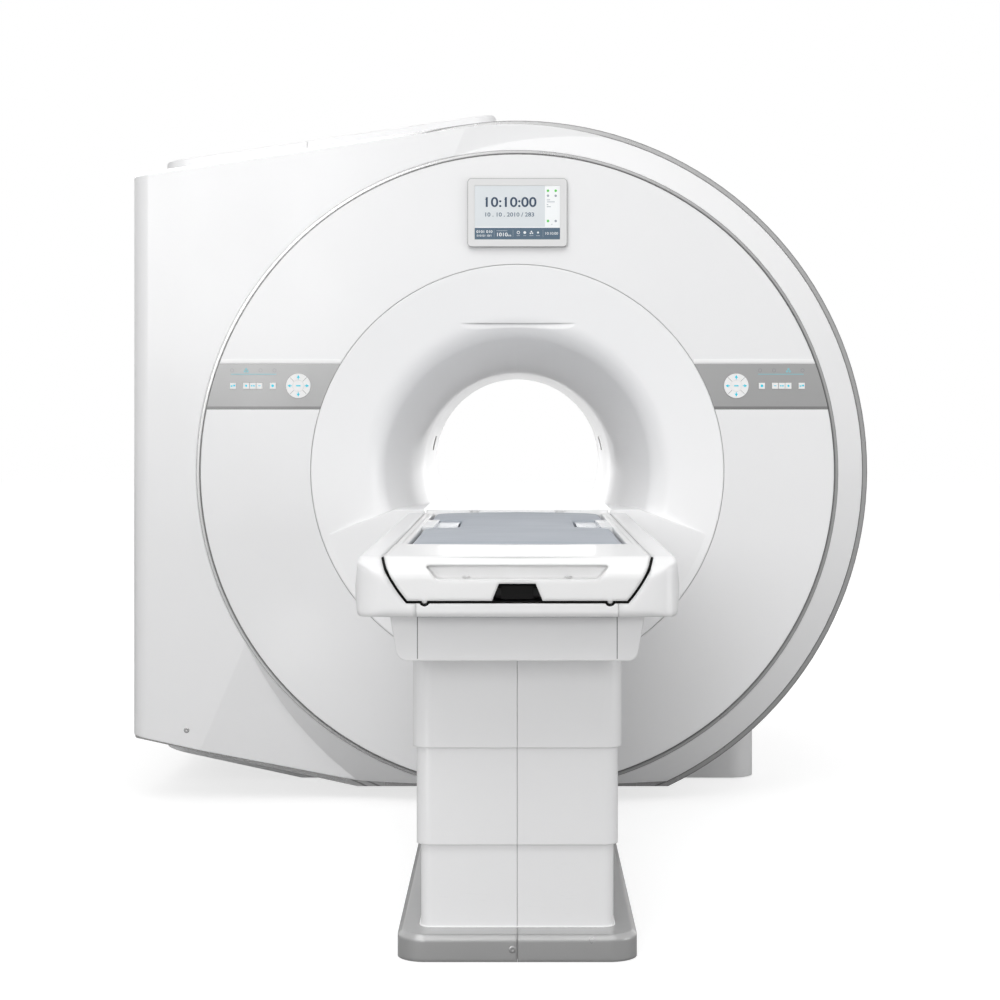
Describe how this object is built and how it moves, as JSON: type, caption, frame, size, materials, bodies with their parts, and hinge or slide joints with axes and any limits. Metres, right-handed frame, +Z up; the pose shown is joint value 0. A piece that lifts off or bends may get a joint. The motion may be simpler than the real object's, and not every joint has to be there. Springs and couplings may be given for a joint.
{
  "type": "mri scanner",
  "caption": "Floor-standing whole-body MRI scanner: a round-faced gantry with a flared bore and one squared side, and a patient table that lifts and slides into it.",
  "frame": {"origin": "on the floor, under the centre of the imaging field: the middle of the magnet's four floor bolts", "axes": "+Y along the bore from the table to the back, +X to the right seen from the table, +Z up"},
  "size_m": [2.2302, 3.706, 2.1361],
  "materials": {
    "cover_white": "satin paint",
    "flare_white": "satin",
    "magnet_paint": "paint",
    "bare_metal": "machined",
    "coil_resin": "cast resin",
    "liner_white": "satin",
    "frame_steel": "paint",
    "strip_grey": "metallic paint",
    "bezel_grey": "satin",
    "screen": "display",
    "trim_grey": "metallic paint",
    "base_grey": "metallic paint",
    "table_white": "satin paint",
    "tabletop_white": "satin",
    "pad_vinyl": "vinyl",
    "socket_plastic": "satin",
    "latch_black": "matte",
    "key_white": "satin"
  },
  "bodies": {
    "gantry": {"magnet_vessel": "magnet_paint", "magnet_cradle": "magnet_paint", "cold_head": "bare_metal", "gradient_coil": "coil_resin", "body_coil": "coil_resin", "bore_liner": "liner_white", "bore_bridge": "liner_white", "cover_frame": "frame_steel", "front_flare_cover": "flare_white", "rear_flare_cover": "flare_white", "upper_face_panel": "cover_white", "lower_face_panel": "cover_white", "left_control_panel": "strip_grey", "right_control_panel": "strip_grey", "display_bezel": "bezel_grey", "display_screen": "screen", "face_trim_ring": "trim_grey", "front_outer_cover": "cover_white", "face_edge_trim": "trim_grey", "left_body_cover": "cover_white", "right_body_cover": "cover_white", "top_cover_left": "cover_white", "top_cover_right": "cover_white", "rear_cover": "cover_white", "lift_column": "frame_steel", "base_cover_left": "base_grey", "base_cover_right": "base_grey", "lower_shell_left": "table_white", "lower_shell_right": "table_white"},
    "middle_stage": {"middle_shell_left": "table_white", "middle_shell_right": "table_white", "lift_middle_tube": "frame_steel"},
    "table_lift": {"lift_ram": "frame_steel", "upper_shell_left": "table_white", "upper_shell_right": "table_white", "underbox_cover": "table_white", "table_frame": "frame_steel", "table_side_cover_left": "table_white", "table_side_cover_right": "table_white", "table_front_panel": "table_white"},
    "tabletop": {"tabletop_nose": "tabletop_white", "tabletop_board": "tabletop_white", "table_pad": "pad_vinyl", "coil_socket_left": "socket_plastic", "coil_socket_right": "socket_plastic"},
    "latch": {"release_latch": "latch_black"},
    "left_rocker_pad_body": {"left_rocker_pad": "key_white"},
    "left_centre_key_body": {"left_centre_key": "key_white"},
    "left_inner_key_body": {"left_inner_key": "key_white"},
    "left_first_row_key_body": {"left_first_row_key": "key_white"},
    "left_second_row_key_body": {"left_second_row_key": "key_white"},
    "left_third_row_key_body": {"left_third_row_key": "key_white"},
    "left_outer_key_body": {"left_outer_key": "key_white"},
    "right_rocker_pad_body": {"right_rocker_pad": "key_white"},
    "right_centre_key_body": {"right_centre_key": "key_white"},
    "right_inner_key_body": {"right_inner_key": "key_white"},
    "right_first_row_key_body": {"right_first_row_key": "key_white"},
    "right_second_row_key_body": {"right_second_row_key": "key_white"},
    "right_third_row_key_body": {"right_third_row_key": "key_white"},
    "right_outer_key_body": {"right_outer_key": "key_white"}
  },
  "joints": [
    {"name": "table_lift_slide", "type": "slide", "parent": "gantry", "child": "table_lift", "axis": [0, 0, 1], "range_m": [-0.32, 0]},
    {"name": "middle_stage_slide", "type": "slide", "parent": "gantry", "child": "middle_stage", "axis": [0, 0, 1], "range_m": [-0.16, 0]},
    {"name": "tabletop_slide", "type": "slide", "parent": "table_lift", "child": "tabletop", "axis": [0, 1, 0], "range_m": [0, 1.5]},
    {"name": "latch_swing", "type": "hinge", "parent": "tabletop", "child": "latch", "pos_m": [0, -2.882, 0.815], "axis": [1, 0, 0], "range_deg": [0, 20], "stiffness_Nm_per_rad": 1, "springref_deg": -11.46},
    {"name": "left_rocker_pad_press", "type": "slide", "parent": "gantry", "child": "left_rocker_pad_body", "axis": [0, 1, 0], "range_m": [0, 0.0012], "stiffness_N_per_m": 1200, "springref_m": -0.001},
    {"name": "left_centre_key_press", "type": "slide", "parent": "gantry", "child": "left_centre_key_body", "axis": [0, 1, 0], "range_m": [0, 0.0012], "stiffness_N_per_m": 1200, "springref_m": -0.001},
    {"name": "left_inner_key_press", "type": "slide", "parent": "gantry", "child": "left_inner_key_body", "axis": [0, 1, 0], "range_m": [0, 0.0012], "stiffness_N_per_m": 1200, "springref_m": -0.001},
    {"name": "left_first_row_key_press", "type": "slide", "parent": "gantry", "child": "left_first_row_key_body", "axis": [0, 1, 0], "range_m": [0, 0.0012], "stiffness_N_per_m": 1200, "springref_m": -0.001},
    {"name": "left_second_row_key_press", "type": "slide", "parent": "gantry", "child": "left_second_row_key_body", "axis": [0, 1, 0], "range_m": [0, 0.0012], "stiffness_N_per_m": 1200, "springref_m": -0.001},
    {"name": "left_third_row_key_press", "type": "slide", "parent": "gantry", "child": "left_third_row_key_body", "axis": [0, 1, 0], "range_m": [0, 0.0012], "stiffness_N_per_m": 1200, "springref_m": -0.001},
    {"name": "left_outer_key_press", "type": "slide", "parent": "gantry", "child": "left_outer_key_body", "axis": [0, 1, 0], "range_m": [0, 0.0012], "stiffness_N_per_m": 1200, "springref_m": -0.001},
    {"name": "right_rocker_pad_press", "type": "slide", "parent": "gantry", "child": "right_rocker_pad_body", "axis": [0, 1, 0], "range_m": [0, 0.0012], "stiffness_N_per_m": 1200, "springref_m": -0.001},
    {"name": "right_centre_key_press", "type": "slide", "parent": "gantry", "child": "right_centre_key_body", "axis": [0, 1, 0], "range_m": [0, 0.0012], "stiffness_N_per_m": 1200, "springref_m": -0.001},
    {"name": "right_inner_key_press", "type": "slide", "parent": "gantry", "child": "right_inner_key_body", "axis": [0, 1, 0], "range_m": [0, 0.0012], "stiffness_N_per_m": 1200, "springref_m": -0.001},
    {"name": "right_first_row_key_press", "type": "slide", "parent": "gantry", "child": "right_first_row_key_body", "axis": [0, 1, 0], "range_m": [0, 0.0012], "stiffness_N_per_m": 1200, "springref_m": -0.001},
    {"name": "right_second_row_key_press", "type": "slide", "parent": "gantry", "child": "right_second_row_key_body", "axis": [0, 1, 0], "range_m": [0, 0.0012], "stiffness_N_per_m": 1200, "springref_m": -0.001},
    {"name": "right_third_row_key_press", "type": "slide", "parent": "gantry", "child": "right_third_row_key_body", "axis": [0, 1, 0], "range_m": [0, 0.0012], "stiffness_N_per_m": 1200, "springref_m": -0.001},
    {"name": "right_outer_key_press", "type": "slide", "parent": "gantry", "child": "right_outer_key_body", "axis": [0, 1, 0], "range_m": [0, 0.0012], "stiffness_N_per_m": 1200, "springref_m": -0.001}
  ],
  "couplings": [
    {"joint": "middle_stage_slide", "follows": "table_lift_slide", "ratio": 0.5}
  ]
}
